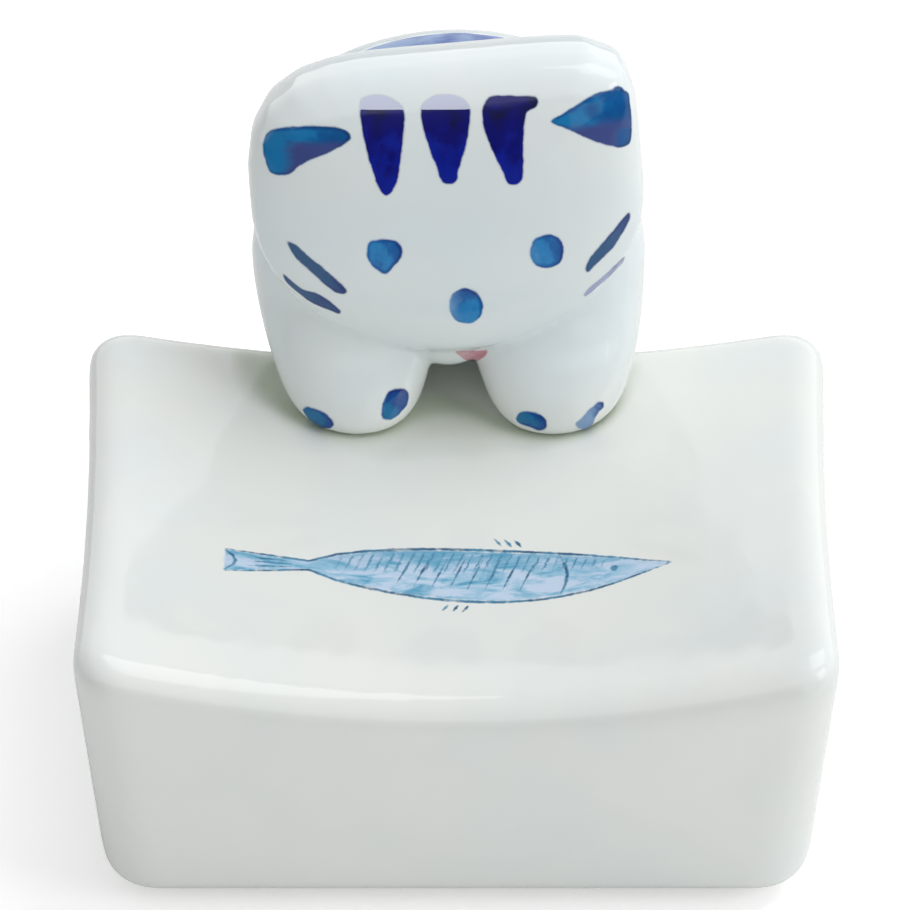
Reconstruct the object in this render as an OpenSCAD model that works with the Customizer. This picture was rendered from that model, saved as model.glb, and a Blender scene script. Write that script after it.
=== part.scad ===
// A porcelain chopstick rest: a hollow-topped plate, and a cat that leans on it from behind.
// The plate and the cat's members are potted apart, luted with slip and fired as one piece.
// X runs to the right, Y to the back and Z up. The origin is the middle of the footprint.

/* [Plate] */
// Width across the top edge
plate_w = 45; // [40:0.5:56]
// Depth across the top edge
plate_d = 33.8; // [30:0.2:42]
// Height at the middle of the hollow top
plate_h = 16.9; // [13:0.1:20]
// How far the corners of the front edge rise above the middle
sag_front = 3.6; // [1:0.2:5]
// How far the corners of the rear edge rise above the middle
sag_rear = 2.6; // [1:0.2:4]
// How much further in each wall stands at the foot than at the top
draft = 1.2; // [0.4:0.1:1.8]
// How far the corners stand out past the middle of the side walls
flare = 0.5; // [0:0.1:1]
// Radius of the upright corners, seen from above
corner_r = 3; // [2.6:0.1:5]
// Radius of the upright corners at the foot
foot_corner_r = 3.4; // [3:0.1:5]
// Radius of the top edge
edge_r = 2; // [1:0.1:2.4]
// Radius of the lower edge
lower_edge_r = 2.2; // [1:0.1:2.6]

/* [Underside] */
// Thickness of the walls round the recess
wall_t = 4.4; // [4.2:0.1:6]
// Thickness of the clay above the recess, at the middle
top_t = 3.6; // [2.8:0.1:5]
// Height of the bare foot rim
rim_h = 0.8; // [0.5:0.1:1.5]
// Width of the bare foot rim
rim_w = 1.6; // [1:0.1:1.8]

/* [Head] */
// Width of the head across the cheeks
head_w = 23.4; // [20:0.2:25]
// Height from the widest line of the cheeks to the crown
crown_h = 9.2; // [8:0.1:10.5]
// Height from the chin to the widest line of the cheeks
jaw_h = 9.5; // [8:0.1:10.5]
// How far the face bulges in front of the head's widest section
face_bulge = 3; // [2:0.1:4]
// Length of the head behind its widest section
head_l = 4.5; // [3.5:0.1:6]
// Height of the chin above the plate
chin_rise = 4.4; // [4:0.1:6]
// How far the face leans back
face_tilt = 12; // [6:1:18]
// How far the head leans over to its own right, which lifts the side at +X
head_roll = 4.5; // [0:0.5:6]
// How far the head is turned towards +X
head_turn = 2; // [0:0.5:5]
// How far the cat stands off the middle of the plate, towards -X
cat_offset = 0.5; // [0:0.05:1.5]

/* [Forelegs] */
// How far the front of the paws stands in from the rear edge of the plate
paw_reach = 9.2; // [7.5:0.1:10]
// Spacing of the two forelegs, middle to middle
leg_spacing = 12.3; // [11.9:0.1:13]
// How far the paws stand to +X of the shoulders
paw_shift = 0.4; // [0:0.05:0.8]
// Width of a paw
paw_w = 7.2; // [6:0.1:8]
// Width of a foreleg at the shoulder
shoulder_w = 11.4; // [10.4:0.1:11.8]

/* [Trunk and hind legs] */
// Width of the trunk at the shoulders
back_w = 22; // [18:0.2:22.6]
// Width of the trunk at the hips
hip_w = 17.4; // [15:0.2:19]
// How far the shoulders reach behind the plate
nape_reach = 9; // [8:0.1:10]
// How far the rump reaches behind the plate
rump_reach = 12.2; // [11:0.1:13]
// Spacing of the two haunches, middle to middle
haunch_spacing = 13.6; // [12.6:0.1:14.6]
// Width of a haunch
haunch_w = 8.6; // [7.4:0.1:9]
// Height of a haunch
haunch_h = 13.6; // [12:0.2:15]
// Thickness of the tail
tail_d = 3.4; // [2.8:0.1:4]
// Height of the tail's tip
tail_tip_h = 18; // [15:0.2:20]

/* [Paint] */
// Thickness of the fired colour
paint_t = 0.1; // [0.06:0.01:0.2]
// Length of the fish
fish_l = 26.4; // [22:0.2:30]
// Depth of the fish's body
fish_w = 4.7; // [3.6:0.1:5.6]
// Distance of the fish from the front edge
fish_in = 12.4; // [9:0.1:13]
// Width of the drawn line
line_w = 0.3; // [0.2:0.02:0.5]

/* [Hidden] */

// Clearance between luted pieces, and between the clay and the colour on it
seat_gap = 0.04;
// Overrun of a cutting solid past what it cuts
overrun = 40;
// A width that stands for a point, where an outline tapers to one
tip_w = 0.02;

// The colours of the porcelain, the bare foot and the painted marks
glaze_colour = [0.9, 0.92, 0.91];
bisque_colour = [0.86, 0.82, 0.75];
cobalt_colour = [0.05, 0.12, 0.55];
blue_colour = [0.12, 0.45, 0.75];
pink_colour = [0.82, 0.5, 0.56];
wash_colour = [0.68, 0.83, 0.92];

half_w = plate_w / 2;
half_d = plate_d / 2;

function mix(a, b, t) = a + (b - a) * t;
function ease(t) = let (u = min(max(t, 0), 1)) u * u * (3 - 2 * u);
function round_off(t) = sqrt(max(1 - t * t, 0));
function unit(v) = v / norm(v);
function super_point(a, hx, hy, square) =
    let (c = cos(a), s = sin(a), g = pow(pow(abs(c), square) + pow(abs(s), square), 1 / square))
        [hx * c / g, hy * s / g];

// A closed skin over rings of equal counts. Each end is a fan from the middle of its ring, or a
// strip from side to side where the ring lies on the hollow top.
function ring_middle(ring) = [for (k = [0:2]) let (s = [for (p = ring) p[k]]) (min(s) + max(s)) / 2];
function side_faces(n, rings) = [
    for (j = [0:rings - 2]) for (i = [0:n - 1])
        let (a = j * n + i, b = j * n + (i + 1) % n)
            each [[a, b + n, b], [a, a + n, b + n]]
];
function fan_faces(n, base, middle, up) = [
    for (i = [0:n - 1])
        let (a = base + i, b = base + (i + 1) % n) up ? [middle, b, a] : [middle, a, b]
];
function strip_faces(n, base) = [
    for (i = [0:n / 2 - 1])
        let (a = base + i, b = base + i + 1, c = base + (n - i) % n, d = base + n - i - 1)
            each concat(i > 0 ? [[a, c, b]] : [], i < n / 2 - 1 ? [[b, c, d]] : [])
];

module skin(rings, strip_top = false) {
    n = len(rings[0]);
    count = len(rings);
    last = (count - 1) * n;
    polyhedron(
        points = concat([for (r = rings) each r], [ring_middle(rings[0]), ring_middle(rings[count - 1])]),
        faces = concat(
            side_faces(n, count),
            fan_faces(n, 0, count * n, false),
            strip_top ? strip_faces(n, last) : fan_faces(n, last, count * n + 1, true)
        ),
        convexity = 6
    );
}

// The part is built with the rear face of the plate's top edge at y = 0, and moved at the end so
// that the footprint's middle is the origin.
plate_y = -half_d;

// The plate

// How many points the outline has on half of each wall and on each corner
side_steps = 3;
corner_steps = 5;
front_steps = 7;
// Radius of the corners of the innermost rings across the top
least_corner_r = corner_r / 8;

// One quarter of a rounded rectangle, from the +X axis towards the +Y axis
function quarter(hx, hy, r) = concat(
    [for (j = [0:side_steps - 1]) [hx, (hy - r) * j / side_steps]],
    [for (j = [0:corner_steps]) let (a = 90 * j / corner_steps) [hx - r + r * cos(a), hy - r + r * sin(a)]],
    [for (j = [1:front_steps - 1]) [(hx - r) * (1 - j / front_steps), hy]]
);
// How far the side wall draws in between its corners, and how far the rings on the top bow out
bow_share = 0.06;
function waist(p) = flare * (1 - pow(p[1] / half_d, 2)) * p[0] / half_w;
function bow(p, hx, hy, inset) = inset * bow_share * (1 - pow(p[1] / hy, 2)) * p[0] / hx;
function reversed(list) = [for (i = [len(list) - 1:-1:0]) list[i]];
function plate_outline(inset, r = corner_r, bowed = false) =
    let (
        hx = half_w - inset,
        hy = half_d - inset,
        q = [for (p = quarter(hx, hy, max(r - inset, least_corner_r)))
            [p[0] - waist(p) + (bowed ? bow(p, hx, hy, inset) : 0), p[1]]],
        upper = concat(q, [[0, hy]], [for (p = reversed(q)) [-p[0], p[1]]]),
        lower = [for (i = [len(upper) - 2:-1:1]) [upper[i][0], -upper[i][1]]]
    ) concat(upper, lower);

// Height of the hollow top over a place, both measured from the middle of the plate
function top_z(x, y) =
    plate_h + mix(sag_front, sag_rear, (y + half_d) / plate_d) * pow(x / half_w, 2);
// The same over a place in the part's frame
function plate_top(x, y) = top_z(x, y - plate_y);

function at_height(outline, z) = [for (p = outline) [p[0], p[1] + plate_y, z]];
function on_top(outline, drop) = [for (p = outline) [p[0], p[1] + plate_y, top_z(p[0], p[1]) - drop]];

// A ring of the outer wall at a share of its height, which leans in towards the foot
function wall_ring(share) = [
    for (p = plate_outline(draft * (1 - share), mix(foot_corner_r, corner_r, share) + draft * (1 - share)))
        [p[0], p[1] + plate_y, mix(rim_h + lower_edge_r, top_z(p[0], p[1]) - edge_r, share)]
];
wall_shares = [0, 0.25, 0.5, 0.75, 1];
edge_angles = [18, 36, 54, 72, 90];
lower_edge_angles = [0, 22, 44, 66];
// Insets of the rings across the hollow top, as shares of half the depth
top_inset_shares = [0.22, 0.4, 0.6, 0.8, 0.97];
// The recess narrows a little towards its ceiling, so that it leaves its mould
recess_ceiling = plate_h - top_t;
recess_draft = 0.5;

module plate() {
    rings = concat(
        [at_height(plate_outline(draft + wall_t + recess_draft), recess_ceiling)],
        [at_height(plate_outline(draft + wall_t), rim_h)],
        [for (a = lower_edge_angles)
            at_height(
                plate_outline(draft + lower_edge_r * (1 - sin(a)), foot_corner_r + draft),
                rim_h + lower_edge_r * (1 - cos(a))
            )],
        [for (s = wall_shares) wall_ring(s)],
        [for (a = edge_angles) on_top(plate_outline(edge_r * (1 - cos(a))), edge_r * (1 - sin(a)))],
        [for (s = top_inset_shares) on_top(plate_outline(half_d * s, bowed = true), 0)]
    );
    color(glaze_colour) skin(rings, strip_top = true);
}

// A rounded slab with true round corners
module rounded_slab(w, d, r, h) {
    translate([-w / 2, -(d - 2 * r) / 2, 0]) cube([w, d - 2 * r, h]);
    translate([-(w - 2 * r) / 2, -d / 2, 0]) cube([w - 2 * r, d, h]);
    for (sx = [-1, 1], sy = [-1, 1])
        translate([sx * (w / 2 - r), sy * (d / 2 - r), 0]) cylinder(r = r, h = h, $fn = 48);
}

// The rim stands in the middle of the plate's bottom face
rim_inset = draft + (wall_t + lower_edge_r - rim_w) / 2;
rim_r = corner_r - draft;

module foot_rim() {
    w = plate_w - 2 * rim_inset;
    d = plate_d - 2 * rim_inset;
    color(bisque_colour) translate([0, plate_y, 0]) difference() {
        rounded_slab(w, d, rim_r, rim_h);
        translate([0, 0, -rim_h]) rounded_slab(w - 2 * rim_w, d - 2 * rim_w, rim_r / 2, 3 * rim_h);
    }
}

// The head

head_points = 40;
half_head = head_w / 2;
// How square the crown, the jaw and the bulge of the face are: 2 is an ellipse. The crown is
// rounder on the side at -X.
crown_square = 8;
crown_square_left = 3.9;
jaw_square = 1.9;
bulge_square = 2.6;
// The head is a little smaller at the neck than at its widest section
neck_share = 0.92;
neck_ring_shares = [0.4, 0.7, 0.88, 1];
// Rings of the face, as shares of the way from its middle to its widest section
face_shares = [0.15, 0.35, 0.55, 0.72, 0.85, 0.93, 0.98, 1];

head_z = plate_h + chin_rise + jaw_h;
// The widest section stands so far in front of the plate's rear face, where the neck meets the trunk
head_in = 3.7;
head_y = -head_in;

// How far out a place on the head lies: 0 in the middle, 1 at the widest outline
function head_gauge(x, z, grow) =
    let (
        h = (z > 0 ? crown_h : jaw_h) + grow,
        square = z < 0 ? jaw_square : x < 0 ? crown_square_left : crown_square,
        u = abs(x) / (half_head + grow),
        v = abs(z) / h
    ) pow(pow(u, square) + pow(v, square), 1 / square);
function head_outline(scale_share, grow = 0) = [
    for (i = [0:head_points - 1])
        let (a = 360 * i / head_points, c = cos(a), s = sin(a), g = head_gauge(c, s, grow))
            [c / g * scale_share, s / g * scale_share]
];
function face_y(gauge, grow) = -(face_bulge + grow) * pow(max(1 - pow(min(gauge, 1), bulge_square), 0), 1 / bulge_square);
// A place on the face, in the head's own frame, lifted off the clay
function face_point(x, z, lift) = [x, face_y(head_gauge(x, z, lift), lift), z];

module head_place() {
    translate([-cat_offset, head_y, head_z]) rotate([-face_tilt, -head_roll, head_turn]) children();
}
function head_form_rings(grow) = concat(
    [for (s = face_shares)
        [for (p = head_outline(s, grow)) [p[0], face_y(s, grow), p[1]]]],
    [for (t = neck_ring_shares)
        [for (p = head_outline(mix(1, neck_share, pow(t, 3)), grow)) [p[0], head_l * t, p[1]]]]
);
module head_form(grow = 0) {
    skin(reversed(head_form_rings(grow)));
}
module cat_head() {
    color(glaze_colour) head_place() head_form();
}

// Everything in front of the plane where the neck meets the trunk, and everything behind it
module before_neck(gap) {
    head_place() translate([-overrun, head_l + gap - 2 * overrun, -overrun]) cube(2 * overrun);
}
module behind_neck(gap) {
    head_place() translate([-overrun, head_l - gap, -overrun]) cube(2 * overrun);
}

// The forelegs

leg_points = 28;
half_leg = leg_spacing / 2;
// Depth of a paw and of a shoulder, front to back, before the neck plane cuts them
paw_l = 7.8;
shoulder_l = 9.4;
// How far the shoulder's front stands behind the paw's front
shoulder_back = 3.7;
// Height from the plate at which a leg has its full width, and at which it closes under the cheek
leg_full_h = 8.6;
leg_closed_h = 15.6;
// How square a leg's section is, and how much it draws in at the plate and at its top
leg_square = 2.2;
paw_draw_share = 0.9;
leg_top_share = 0.45;
// Heights of the rings over the paw, as shares of the full height
leg_shares = [0, 0.06, 0.14, 0.28, 0.45, 0.62, 0.8, 1, 1.25, 1.5, 1.7];
// The share of the full height within which the paw curls in to the plate
paw_curl_share = 0.14;

// The widths and the middle of a leg's section at a height over the plate
function leg_growth(h) = sin(90 * pow(min(h / leg_full_h, 1), 0.8));
function leg_close(h) =
    h <= leg_full_h ? 1 : mix(1, leg_top_share, pow((h - leg_full_h) / (leg_closed_h - leg_full_h), 2));
function paw_draw(h) = mix(paw_draw_share, 1, round_off(1 - min(h / (paw_curl_share * leg_full_h), 1)));
function leg_hx(h) = mix(paw_w, shoulder_w, leg_growth(h)) / 2 * leg_close(h) * paw_draw(h);
function leg_hy(h) = mix(paw_l, shoulder_l, leg_growth(h)) / 2 * leg_close(h) * paw_draw(h);
function leg_middle_y(h) =
    -paw_reach + shoulder_back * ease(h / leg_full_h) + mix(paw_l, shoulder_l, leg_growth(h)) / 2;

// A place on a leg: the angle round it and its height over the plate
function leg_point(side, a, h, lift) =
    let (
        p = super_point(a, leg_hx(h) + lift, leg_hy(h) + lift, leg_square),
        x = side * half_leg - cat_offset + paw_shift * (1 - ease(h / leg_full_h)) + p[0],
        y = leg_middle_y(h) + p[1]
    ) [x, y, mix(plate_top(x, y) + seat_gap, plate_h, min(h / leg_full_h, 1)) + h];
module leg_form(side, grow = 0) {
    skin([for (s = leg_shares) let (h = s * leg_full_h)
        [for (i = [0:leg_points - 1]) leg_point(side, 360 * i / leg_points, h, grow)]]);
}
module foreleg(side) {
    color(glaze_colour) difference() {
        leg_form(side);
        head_place() head_form(seat_gap);
        behind_neck(seat_gap);
    }
}
module foreleg_left() { foreleg(-1); }
module foreleg_right() { foreleg(1); }

// The chin: a lip of clay that closes the arch between the forelegs, under the jaw
chin_points = 20;
chin_w = 5;
chin_l = 3.4;
chin_h = 3.4;
// How far the lip hangs under the jaw, and how far it stands in behind the front of the jaw
chin_drop = 1.6;
chin_in = 1.2;
chin_square = 2.6;
chin_shares = [0.08, 0.3, 0.55, 0.75, 0.9, 1];
chin_z = plate_h + chin_rise - chin_drop;
chin_y = head_y - chin_in;

module chin() {
    color(glaze_colour) difference() {
        skin([for (s = chin_shares)
            [for (i = [0:chin_points - 1])
                let (p = super_point(360 * i / chin_points, chin_w / 2 * s, chin_l / 2 * s, chin_square))
                    [p[0] - cat_offset, p[1] + chin_y, chin_z + chin_h * (1 - round_off(s))]]]);
        head_place() head_form(seat_gap);
        leg_form(-1, seat_gap);
        leg_form(1, seat_gap);
    }
}

// The trunk

body_points = 40;
half_back = back_w / 2;
half_hip = hip_w / 2;
// How square the trunk's section is towards the plate and at the back
chest_square = 2.6;
back_square = 2.05;
// The crown of the back stands so far under the crown of the head
crown_step = 2.7;
body_top = head_z + crown_h - crown_step;
// How far the crown of the back stands to +X of the rump
crown_shift = 0.5;
// The rump hangs just clear of the table
body_floor = 1.2;
// The trunk comes forward over the rear edge of the plate between these heights
ledge_z = plate_h + sag_rear * pow(half_back / half_w, 2) + seat_gap * 3;
chest_rise = 3.6;
chest_z = ledge_z + chest_rise;
// How far the uncut trunk reaches through the neck plane
neck_overlap = 2;
// Where the back begins to round off to its crown, and the rump to its underside
crown_drop = 7.5;
rump_rise = 7.5;
crown_start = body_top - crown_drop;
rump_start = body_floor + rump_rise;
// How much of its section the trunk keeps at its very top and bottom
body_end_share = 0.04;
crown_lap = 1.5;
chest_steps = 3;
lower_steps = 5;
upper_steps = 9;

// Where the neck plane and the rear wall of the plate stand at a height, and the front and the back
// of the trunk, all measured behind the rear face of the plate
function neck_reach(z) = head_l / cos(face_tilt) + (z - head_z) * tan(face_tilt) - head_in;
function wall_reach(z) = seat_gap - draft * (1 - min(z / plate_h, 1));
function front_reach(z) =
    z <= ledge_z ? wall_reach(z) :
    mix(wall_reach(ledge_z), neck_reach(z) - neck_overlap, ease((z - ledge_z) / (chest_z - ledge_z)));
function full_reach(z) = mix(rump_reach, nape_reach, ease((z - rump_start) / (crown_start - rump_start)));
// How much of its full section the trunk has at a height
function body_share(z) =
    z > crown_start ? round_off((z - crown_start) / (body_top - crown_start)) :
    z < rump_start ? round_off((rump_start - z) / (rump_start - body_floor) * 0.92) : 1;
function body_hx(z) =
    mix(half_hip, half_back, ease((z - rump_start) / (crown_start - rump_start)))
    * mix(body_end_share, 1, body_share(z));
function body_x(z) = crown_shift * ease(z / body_top) - cat_offset;
// The crown rounds off towards the neck, and the rump towards the plate
function back_reach(z) =
    mix(
        z > crown_start ? neck_reach(z) + crown_lap : mix(front_reach(z), full_reach(z), 0.5),
        full_reach(z),
        body_share(z)
    );

// A place on the trunk: the angle round it and its height
function body_point(a, z, lift) =
    let (
        front = front_reach(z),
        back = back_reach(z),
        square = a < 180 ? back_square : chest_square,
        p = super_point(a, body_hx(z) + lift, (back - front) / 2 + lift, square),
        rise = z > crown_start ? lift * (1 - body_share(z)) : 0
    ) [p[0] + body_x(z), (front + back) / 2 + p[1], z + rise];
body_heights = concat(
    [for (i = [0:lower_steps]) mix(body_floor, rump_start, 1 - cos(90 * i / lower_steps))],
    [for (i = [1:lower_steps]) mix(rump_start, ledge_z, i / lower_steps)],
    [for (i = [1:chest_steps]) mix(ledge_z, chest_z, i / chest_steps)],
    [for (i = [1:chest_steps]) mix(chest_z, crown_start, i / chest_steps)],
    [for (i = [1:upper_steps]) mix(crown_start, body_top, sin(90 * i / upper_steps))]
);
module body_form(grow = 0) {
    skin([for (z = body_heights) [for (i = [0:body_points - 1]) body_point(360 * i / body_points, z, grow)]]);
}
module cat_body() {
    color(glaze_colour) difference() {
        body_form();
        before_neck(seat_gap);
    }
}

// The hind legs

haunch_points = 24;
haunch_l = 10.6;
haunch_square = 2.2;
haunch_lap = 0.1;
haunch_y = haunch_l / 2 - haunch_lap;
// The leg is widest at the thigh, draws in to the ankle and swells again to the paw
haunch_full_h = 7.6;
ankle_h = 3.4;
ankle_share = 0.74;
paw_swell_share = 0.16;
haunch_shares = [0, 0.05, 0.11, 0.18, 0.25, 0.34, 0.44, 0.56, 0.68, 0.8, 0.9, 0.97, 1];

function haunch_share(z) =
    z < ankle_h ? ankle_share + paw_swell_share * sin(180 * mix(0.2, 1, z / ankle_h)) :
    z < haunch_full_h ? mix(ankle_share, 1, ease((z - ankle_h) / (haunch_full_h - ankle_h))) :
    mix(0.06, 1, round_off((z - haunch_full_h) / (haunch_h - haunch_full_h)));
function haunch_point(side, a, z) =
    let (p = super_point(a, haunch_w / 2 * haunch_share(z), haunch_l / 2 * haunch_share(z), haunch_square))
        [side * haunch_spacing / 2 - cat_offset + p[0], haunch_y + p[1], z];
module hindleg(side) {
    color(glaze_colour) difference() {
        skin([for (s = haunch_shares)
            [for (i = [0:haunch_points - 1]) haunch_point(side, 360 * i / haunch_points, s * haunch_h)]]);
        body_form(seat_gap);
    }
}
module hindleg_left() { hindleg(-1); }
module hindleg_right() { hindleg(1); }

// The tail

tail_r = tail_d / 2;
tail_points = 14;
tail_steps = 18;
tail_sway = 4.4;
tail_root_h = 5;
tail_tip_share = 0.66;
// How much of its radius the tail sinks into the back, and how deep its root stands in the rump
tail_sink_share = 0.4;
root_sink_share = 1.3;

// The tail leaves the rump, lies against the back, swings out to +X and curls in again
function tail_z(t) = mix(tail_root_h, tail_tip_h, t);
function tail_x(t) = tail_sway * sin(170 * pow(t, 1.15));
function tail_seat(x, z) =
    let (front = front_reach(z), back = back_reach(z), u = min(abs(x) / body_hx(z), 1))
        (front + back) / 2 + (back - front) / 2 * pow(1 - pow(u, back_square), 1 / back_square);
function tail_out(t) = tail_r * mix(-root_sink_share, 1 - tail_sink_share, sin(90 * min(t * 3.5, 1)));
function tail_reach(t) = tail_seat(tail_x(t), tail_z(t)) + tail_out(t);
function tail_middle(t) = [tail_x(t) - cat_offset, tail_reach(t), tail_z(t)];
function tail_radius(t) = tail_r * mix(1, tail_tip_share, t) * mix(0.25, 1, round_off(1 - min((1 - t) / 0.1, 1)));
whole_reach = max([for (j = [0:tail_steps]) let (t = j / tail_steps) tail_reach(t) + tail_radius(t)]);
tail_probe = 0.01;
function tail_frame(t) =
    let (
        along = unit(tail_middle(min(t + tail_probe, 1)) - tail_middle(max(t - tail_probe, 0))),
        side = unit(cross([0, -1, 0], along))
    ) [side, cross(along, side)];
// A place on the tail: the angle round it and the share of the way to its tip
function tail_point(a, t, lift) =
    let (f = tail_frame(t), r = tail_radius(t) + lift)
        tail_middle(t) + f[0] * r * cos(a) + f[1] * r * sin(a);
module cat_tail() {
    color(glaze_colour) difference() {
        skin([for (j = [0:tail_steps]) let (t = 1 - pow(1 - j / tail_steps, 1.3))
            [for (i = [0:tail_points - 1]) tail_point(360 * i / tail_points, t, 0)]]);
        body_form(seat_gap);
    }
}

// The painted marks. Each is a thin skin over the clay, between pairs of points on either side of
// a stroke. It is laid by a function of a place across, a place up and the lift off the clay.

mark_steps = 8;
// The higher, the squarer the upper end of the stripes
stripe_blunt = 5;
radian = 180 / PI;

// A stroke of a full brush: round or pointed ends, one end fuller and perhaps blunt, and a lean
function brush(w, l, taper = 0, sharp = 0, blunt = 2, lean = 0) = [
    for (k = [0:mark_steps])
        let (
            t = -cos(180 * k / mark_steps),
            end = 1 - pow(abs(t), t > 0 ? blunt : 2),
            h = max(w / 2 * pow(max(end, 0), (1 + sharp) / 2) * (1 + taper * t), tip_w),
            c = lean * t
        ) [[c - h, l / 2 * t], [c + h, l / 2 * t]]
];
function turned(p, a) = [p[0] * cos(a) - p[1] * sin(a), p[0] * sin(a) + p[1] * cos(a)];
function placed(pairs, at, a = 0) = [for (q = pairs) [turned(q[0], a) + at, turned(q[1], a) + at]];

module patch(pairs, lay, across = 2) {
    n = len(pairs);
    m = across + 1;
    size = n * m;
    function grid(lift) = [
        for (q = pairs) for (j = [0:across])
            let (p = mix(q[0], q[1], j / across)) lay(p[0], p[1], lift)
    ];
    rim = concat(
        [for (j = [0:across]) j],
        [for (k = [1:n - 1]) k * m + across],
        [for (j = [across - 1:-1:0]) (n - 1) * m + j],
        [for (k = [n - 2:-1:1]) k * m]
    );
    polyhedron(
        points = concat(grid(seat_gap + paint_t), grid(seat_gap)),
        faces = concat(
            [for (k = [0:n - 2]) for (j = [0:across - 1]) let (a = k * m + j, b = a + m)
                each [[a, b, b + 1], [a, b + 1, a + 1], [a + size, b + 1 + size, b + size], [a + size, a + 1 + size, b + 1 + size]]],
            [for (i = [0:len(rim) - 1]) let (a = rim[i], b = rim[(i + 1) % len(rim)])
                each [[a, b, b + size], [a, b + size, a + size]]]
        ),
        convexity = 4
    );
}

// Marks on the face, placed by shares of the half width and of the height over or under the cheeks
function face_place(share) = [share[0] * half_head, share[1] * (share[1] > 0 ? crown_h : jaw_h)];
face_lay = function (x, z, lift) face_point(x, z, lift);
module face_mark(share, pairs, a = 0, across = 3) {
    head_place() patch(placed(pairs, face_place(share), a), face_lay, across);
}

ear_w = 2.9;
ear_l = 5.4;
stripe_w = 2.3;
stripe_l = 5.7;
eye_w = 2.05;
nose_w = 1.9;
nose_l = 2.2;
whisker_w = 0.62;
whisker_l = 4.6;
mouth_w = 1.5;
mouth_l = 0.8;
// Where the mouth stands on the lip of the chin, across it and over its lowest point
mouth_x = 1.2;
mouth_h = 1.9;
toe_w = 1.5;
toe_l = 2.2;

ear_left_share = [-0.7, 0.59];
ear_right_share = [0.76, 0.68];
stripe_shares = [[-0.285, 0.57], [0.04, 0.58], [0.335, 0.575]];
stripe_lean = -0.25;
stripe_lean_shares = [0.3, 0.1, 1.4];
eye_left_share = [-0.33, -0.17];
eye_right_share = [0.5, -0.24];
nose_share = [0.065, -0.56];
whisker_left_shares = [[-0.67, -0.24], [-0.7, -0.43]];
whisker_right_shares = [[0.815, -0.25], [0.79, -0.48]];

module ear_left() {
    color(cobalt_colour) face_mark(ear_left_share, brush(ear_w, ear_l, -0.45, 0.2), -80);
}
module ear_right() {
    color(cobalt_colour) face_mark(ear_right_share, brush(ear_w, ear_l, -0.5, 0.3), 75);
}
module forehead_stripes() {
    color(cobalt_colour) for (k = [0:len(stripe_shares) - 1])
        face_mark(
            stripe_shares[k],
            brush(stripe_w, stripe_l, 0.35, 0.1, stripe_blunt, stripe_lean * stripe_lean_shares[k])
        );
}
module eye_left() {
    color(blue_colour) face_mark(eye_left_share, brush(eye_w, eye_w));
}
module eye_right() {
    color(blue_colour) face_mark(eye_right_share, brush(eye_w, eye_w));
}
module nose() {
    color(blue_colour) face_mark(nose_share, brush(nose_w, nose_l));
}
module whiskers_left() {
    color(cobalt_colour) for (s = whisker_left_shares)
        face_mark(s, brush(whisker_w, whisker_l, 0, 0.6), 48, 1);
}
module whiskers_right() {
    color(cobalt_colour) for (s = whisker_right_shares)
        face_mark(s, brush(whisker_w, whisker_l, 0, 0.6), -38, 1);
}
// The front of the chin's lip, over its lowest point
chin_lay = function (x, z, lift)
    let (
        s = round_off(1 - z / chin_h),
        u = min(abs(x) / (chin_w / 2 * s), 1),
        out = chin_l / 2 * s * pow(max(1 - pow(u, chin_square), 0), 1 / chin_square)
    ) [x - cat_offset, chin_y - out - lift, chin_z + z];
module mouth() {
    color(pink_colour) patch(placed(brush(mouth_w, mouth_l, 0.6, 0.4), [mouth_x, mouth_h]), chin_lay);
}

// Marks on the paws, placed by the angle round the leg and the height over the plate
function leg_lay(side, a, h) =
    function (u, v, lift) leg_point(side, a + u / leg_hx(h) * radian, h + v, lift);
// For each leg, the outer and the inner mark
toe_angles = [[241, 304], [299, 247]];
toe_heights = [[1.1, 1.9], [1.2, 1.15]];
toe_leans = [[-55, 20], [-50, -60]];
toe_width_shares = [[1, 1], [0.6, 0.9]];
module toe_marks(side) {
    leg = side < 0 ? 0 : 1;
    color(blue_colour) for (k = [0, 1])
        patch(
            placed(brush(toe_w * toe_width_shares[leg][k], toe_l), [0, 0], toe_leans[leg][k]),
            leg_lay(side, toe_angles[leg][k], toe_heights[leg][k])
        );
}
module toe_marks_left() { toe_marks(-1); }
module toe_marks_right() { toe_marks(1); }

// Stripes across the back, placed by the height, and the tip of the tail
back_stripe_l = 12;
back_stripe_w = 1.3;
back_stripe_heights = [mix(rump_start, body_top, 0.62), mix(rump_start, body_top, 0.38)];
// The stripe over the crown, and how far behind the neck its middle runs
crown_stripe_l = 11.6;
crown_stripe_w = 1.5;
crown_stripe_in = 1.75;
halvings = 16;
// Whether a place is outside the trunk's section at a height, and the height of the crown there
function outside(x, y, z) =
    let (front = front_reach(z), back = back_reach(z))
    pow(abs(x) / body_hx(z), back_square)
    + pow(abs(y - (front + back) / 2) / ((back - front) / 2), back_square) > 1;
function crown_height(x, y, low, high, left) =
    left == 0 ? low :
    let (middle = (low + high) / 2)
    outside(x, y, middle) ? crown_height(x, y, low, middle, left - 1) :
    crown_height(x, y, middle, high, left - 1);
crown_lay = function (u, v, lift)
    let (
        y = neck_reach(body_top) + crown_stripe_in + v,
        z = crown_height(u, y, crown_start, body_top, halvings)
    ) [u + body_x(z), y, z + lift];
function back_lay(z) =
    function (u, v, lift) body_point(90 + u / body_hx(z) * radian, z + v, lift);
module back_stripes() {
    color(cobalt_colour) {
        patch(placed(brush(crown_stripe_w, crown_stripe_l, 0, 0.3), [0, 0], 90), crown_lay, 4);
        for (z = back_stripe_heights)
            patch(placed(brush(back_stripe_w, back_stripe_l, 0, 0.3), [0, 0], 90), back_lay(z), 2);
    }
}
tail_mark_share = 0.78;
tail_mark_l = 2.4;
tail_mark_w = 3.4;
function tail_lay(t) =
    function (u, v, lift) tail_point(-90 + u / tail_radius(t) * radian, t + v / (tail_tip_h - tail_root_h), lift);
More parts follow.
